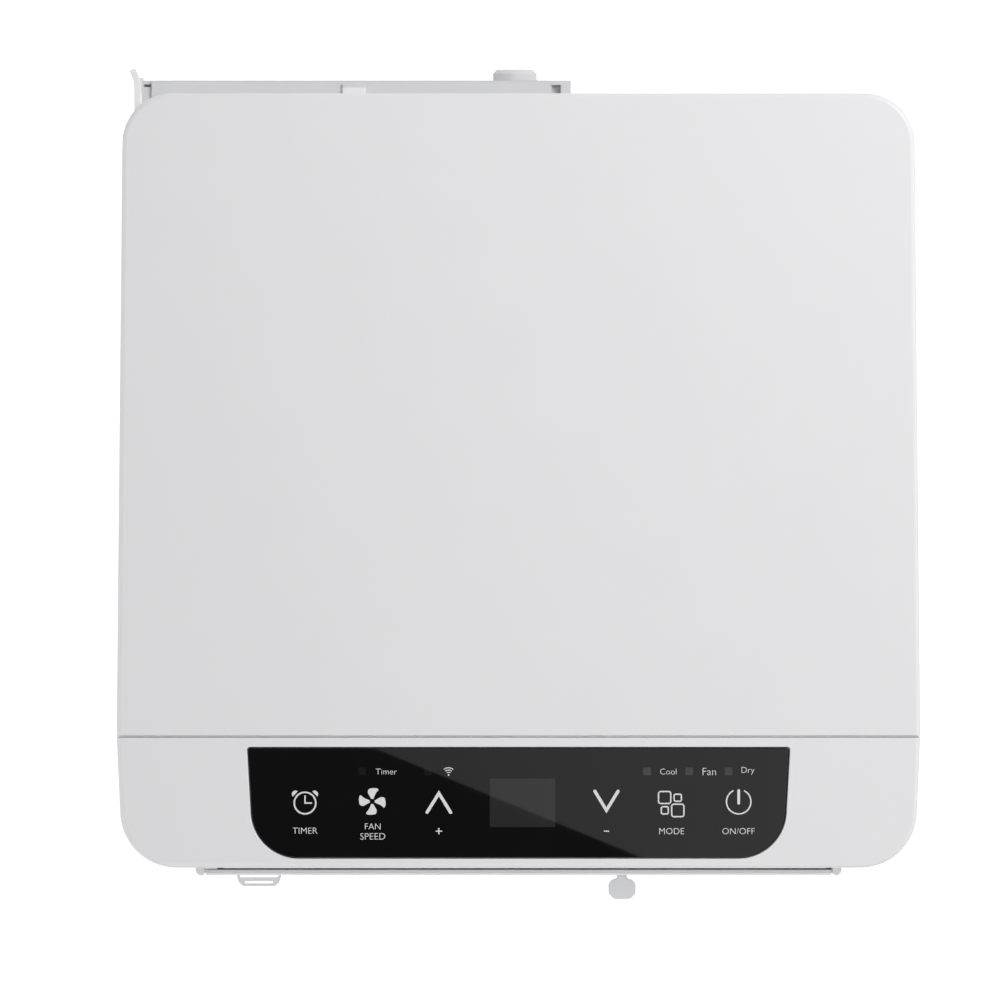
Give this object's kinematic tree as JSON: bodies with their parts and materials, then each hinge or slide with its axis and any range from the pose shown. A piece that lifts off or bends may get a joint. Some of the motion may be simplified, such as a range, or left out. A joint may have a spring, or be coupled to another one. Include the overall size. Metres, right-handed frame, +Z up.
{
  "type": "portable air conditioner",
  "caption": "Upright portable air conditioner on casters, with tilting louvers, swinging vanes, a glass touch panel, rear filters and a covered exhaust outlet.",
  "frame": {"origin": "on the floor under the middle of the top cover", "axes": "+Z up, -Y towards the front outlet and its louvers, +X to the right of someone facing the front"},
  "size_m": [0.355, 0.372, 0.703],
  "materials": {
    "cabinet_plastic": "satin",
    "trim_plastic": "satin",
    "panel_glass": "gloss",
    "dark_plastic": "matt",
    "circuit_board": "satin",
    "foam_duct": "matt",
    "coil_fins": "satin",
    "copper_pipe": "satin",
    "painted_steel": "satin",
    "motor_steel": "satin",
    "wheel_rubber": "matt"
  },
  "bodies": {
    "cabinet": {"top_cover": "cabinet_plastic", "control_bezel": "cabinet_plastic", "front_shell": "cabinet_plastic", "left_side_panel": "cabinet_plastic", "right_side_panel": "cabinet_plastic", "rear_panel": "cabinet_plastic", "base_pan": "trim_plastic", "touch_panel": "panel_glass", "control_board": "circuit_board", "outlet_frame": "trim_plastic", "evaporator_scroll": "foam_duct", "condenser_scroll": "foam_duct", "evaporator_motor": "motor_steel", "condenser_motor": "motor_steel", "evaporator_coil": "coil_fins", "condenser_coil": "coil_fins", "drain_tray": "foam_duct", "compressor": "painted_steel", "accumulator": "painted_steel", "discharge_pipe": "copper_pipe", "suction_pipe": "copper_pipe", "electrical_box": "motor_steel", "capacitor": "motor_steel", "exhaust_frame": "trim_plastic", "drain_spout": "trim_plastic", "cord_gland": "dark_plastic", "cord_hook_lower": "trim_plastic", "cord_hook_upper": "trim_plastic"},
    "louver_upper": {"louver_upper": "trim_plastic"},
    "louver_lower": {"louver_lower": "trim_plastic"},
    "louver_link": {"louver_link": "dark_plastic"},
    "vane_link": {"vane_link": "dark_plastic"},
    "evaporator_blower": {"evaporator_blower": "dark_plastic"},
    "condenser_blower": {"condenser_blower": "dark_plastic"},
    "exhaust_cover": {"exhaust_cover": "cabinet_plastic"},
    "drain_cap": {"drain_cap": "cabinet_plastic"},
    "base_drain_plug": {"base_drain_plug": "trim_plastic"},
    "upper_grille": {"upper_grille": "cabinet_plastic", "upper_filter": "dark_plastic"},
    "lower_grille": {"lower_grille": "cabinet_plastic", "lower_filter": "dark_plastic"},
    "vane_1": {"vane_1": "dark_plastic"},
    "vane_2": {"vane_2": "dark_plastic"},
    "vane_3": {"vane_3": "dark_plastic"},
    "vane_4": {"vane_4": "dark_plastic"},
    "vane_5": {"vane_5": "dark_plastic"},
    "vane_6": {"vane_6": "dark_plastic", "vane_knob": "trim_plastic"},
    "vane_7": {"vane_7": "dark_plastic"},
    "vane_8": {"vane_8": "dark_plastic"},
    "caster_fork_front_left": {"caster_fork_front_left": "trim_plastic"},
    "caster_wheel_front_left": {"caster_wheel_front_left": "wheel_rubber"},
    "caster_fork_front_right": {"caster_fork_front_right": "trim_plastic"},
    "caster_wheel_front_right": {"caster_wheel_front_right": "wheel_rubber"},
    "caster_fork_rear_left": {"caster_fork_rear_left": "trim_plastic"},
    "caster_wheel_rear_left": {"caster_wheel_rear_left": "wheel_rubber"},
    "caster_fork_rear_right": {"caster_fork_rear_right": "trim_plastic"},
    "caster_wheel_rear_right": {"caster_wheel_rear_right": "wheel_rubber"}
  },
  "joints": [
    {"name": "louver_upper_tilt", "type": "hinge", "parent": "cabinet", "child": "louver_upper", "pos_m": [0, -0.17, 0.646], "axis": [1, 0, 0], "range_deg": [0, 75]},
    {"name": "louver_lower_tilt", "type": "hinge", "parent": "cabinet", "child": "louver_lower", "pos_m": [0, -0.17, 0.6], "axis": [1, 0, 0], "range_deg": [0, 75]},
    {"name": "louver_link_pivot", "type": "hinge", "parent": "louver_upper", "child": "louver_link", "pos_m": [0, -0.16246, 0.64022], "axis": [1, 0, 0], "range_deg": [-75, 0]},
    {"name": "vane_6_swing", "type": "hinge", "parent": "cabinet", "child": "vane_6", "pos_m": [0.0459, -0.1357, 0.623], "axis": [0, 0, 1], "range_deg": [-25, 25]},
    {"name": "vane_1_swing", "type": "hinge", "parent": "cabinet", "child": "vane_1", "pos_m": [-0.1071, -0.1357, 0.623], "axis": [0, 0, 1], "range_deg": [-25, 25]},
    {"name": "vane_2_swing", "type": "hinge", "parent": "cabinet", "child": "vane_2", "pos_m": [-0.0765, -0.1357, 0.623], "axis": [0, 0, 1], "range_deg": [-25, 25]},
    {"name": "vane_3_swing", "type": "hinge", "parent": "cabinet", "child": "vane_3", "pos_m": [-0.0459, -0.1357, 0.623], "axis": [0, 0, 1], "range_deg": [-25, 25]},
    {"name": "vane_4_swing", "type": "hinge", "parent": "cabinet", "child": "vane_4", "pos_m": [-0.0153, -0.1357, 0.623], "axis": [0, 0, 1], "range_deg": [-25, 25]},
    {"name": "vane_5_swing", "type": "hinge", "parent": "cabinet", "child": "vane_5", "pos_m": [0.0153, -0.1357, 0.623], "axis": [0, 0, 1], "range_deg": [-25, 25]},
    {"name": "vane_7_swing", "type": "hinge", "parent": "cabinet", "child": "vane_7", "pos_m": [0.0765, -0.1357, 0.623], "axis": [0, 0, 1], "range_deg": [-25, 25]},
    {"name": "vane_8_swing", "type": "hinge", "parent": "cabinet", "child": "vane_8", "pos_m": [0.1071, -0.1357, 0.623], "axis": [0, 0, 1], "range_deg": [-25, 25]},
    {"name": "vane_link_pivot", "type": "hinge", "parent": "vane_6", "child": "vane_link", "pos_m": [0.0459, -0.1227, 0.655], "axis": [0, 0, 1], "range_deg": [-25, 25]},
    {"name": "evaporator_blower_spin", "type": "hinge", "parent": "cabinet", "child": "evaporator_blower", "pos_m": [0, 0.0805, 0.54013], "axis": [0, 1, 0], "continuous": true},
    {"name": "condenser_blower_spin", "type": "hinge", "parent": "cabinet", "child": "condenser_blower", "pos_m": [0.045, 0.0805, 0.16971], "axis": [0, 1, 0], "continuous": true},
    {"name": "exhaust_cover_lift", "type": "slide", "parent": "cabinet", "child": "exhaust_cover", "axis": [0, 0, 1], "range_m": [0, 0.17]},
    {"name": "drain_cap_pull", "type": "slide", "parent": "cabinet", "child": "drain_cap", "axis": [0, 1, 0], "range_m": [0, 0.03]},
    {"name": "base_drain_plug_pull", "type": "slide", "parent": "cabinet", "child": "base_drain_plug", "axis": [0, 1, 0], "range_m": [0, 0.03]},
    {"name": "upper_grille_pull", "type": "slide", "parent": "cabinet", "child": "upper_grille", "axis": [0, 1, 0], "range_m": [0, 0.06]},
    {"name": "lower_grille_pull", "type": "slide", "parent": "cabinet", "child": "lower_grille", "axis": [0, 1, 0], "range_m": [0, 0.06]},
    {"name": "caster_front_left_swivel", "type": "hinge", "parent": "cabinet", "child": "caster_fork_front_left", "pos_m": [-0.13, -0.125, 0.0517], "axis": [0, 0, 1], "continuous": true},
    {"name": "caster_front_left_roll", "type": "hinge", "parent": "caster_fork_front_left", "child": "caster_wheel_front_left", "pos_m": [-0.13, -0.114, 0.02], "axis": [1, 0, 0], "continuous": true},
    {"name": "caster_front_right_swivel", "type": "hinge", "parent": "cabinet", "child": "caster_fork_front_right", "pos_m": [0.13, -0.125, 0.0517], "axis": [0, 0, 1], "continuous": true},
    {"name": "caster_front_right_roll", "type": "hinge", "parent": "caster_fork_front_right", "child": "caster_wheel_front_right", "pos_m": [0.13, -0.114, 0.02], "axis": [1, 0, 0], "continuous": true},
    {"name": "caster_rear_left_swivel", "type": "hinge", "parent": "cabinet", "child": "caster_fork_rear_left", "pos_m": [-0.13, 0.125, 0.0517], "axis": [0, 0, 1], "continuous": true},
    {"name": "caster_rear_left_roll", "type": "hinge", "parent": "caster_fork_rear_left", "child": "caster_wheel_rear_left", "pos_m": [-0.13, 0.136, 0.02], "axis": [1, 0, 0], "continuous": true},
    {"name": "caster_rear_right_swivel", "type": "hinge", "parent": "cabinet", "child": "caster_fork_rear_right", "pos_m": [0.13, 0.125, 0.0517], "axis": [0, 0, 1], "continuous": true},
    {"name": "caster_rear_right_roll", "type": "hinge", "parent": "caster_fork_rear_right", "child": "caster_wheel_rear_right", "pos_m": [0.13, 0.136, 0.02], "axis": [1, 0, 0], "continuous": true}
  ],
  "couplings": [
    {"joint": "louver_lower_tilt", "follows": "louver_upper_tilt", "ratio": 1},
    {"joint": "louver_link_pivot", "follows": "louver_upper_tilt", "ratio": -1},
    {"joint": "vane_1_swing", "follows": "vane_6_swing", "ratio": 1},
    {"joint": "vane_2_swing", "follows": "vane_6_swing", "ratio": 1},
    {"joint": "vane_3_swing", "follows": "vane_6_swing", "ratio": 1},
    {"joint": "vane_4_swing", "follows": "vane_6_swing", "ratio": 1},
    {"joint": "vane_5_swing", "follows": "vane_6_swing", "ratio": 1},
    {"joint": "vane_7_swing", "follows": "vane_6_swing", "ratio": 1},
    {"joint": "vane_8_swing", "follows": "vane_6_swing", "ratio": 1},
    {"joint": "vane_link_pivot", "follows": "vane_6_swing", "ratio": -1}
  ]
}
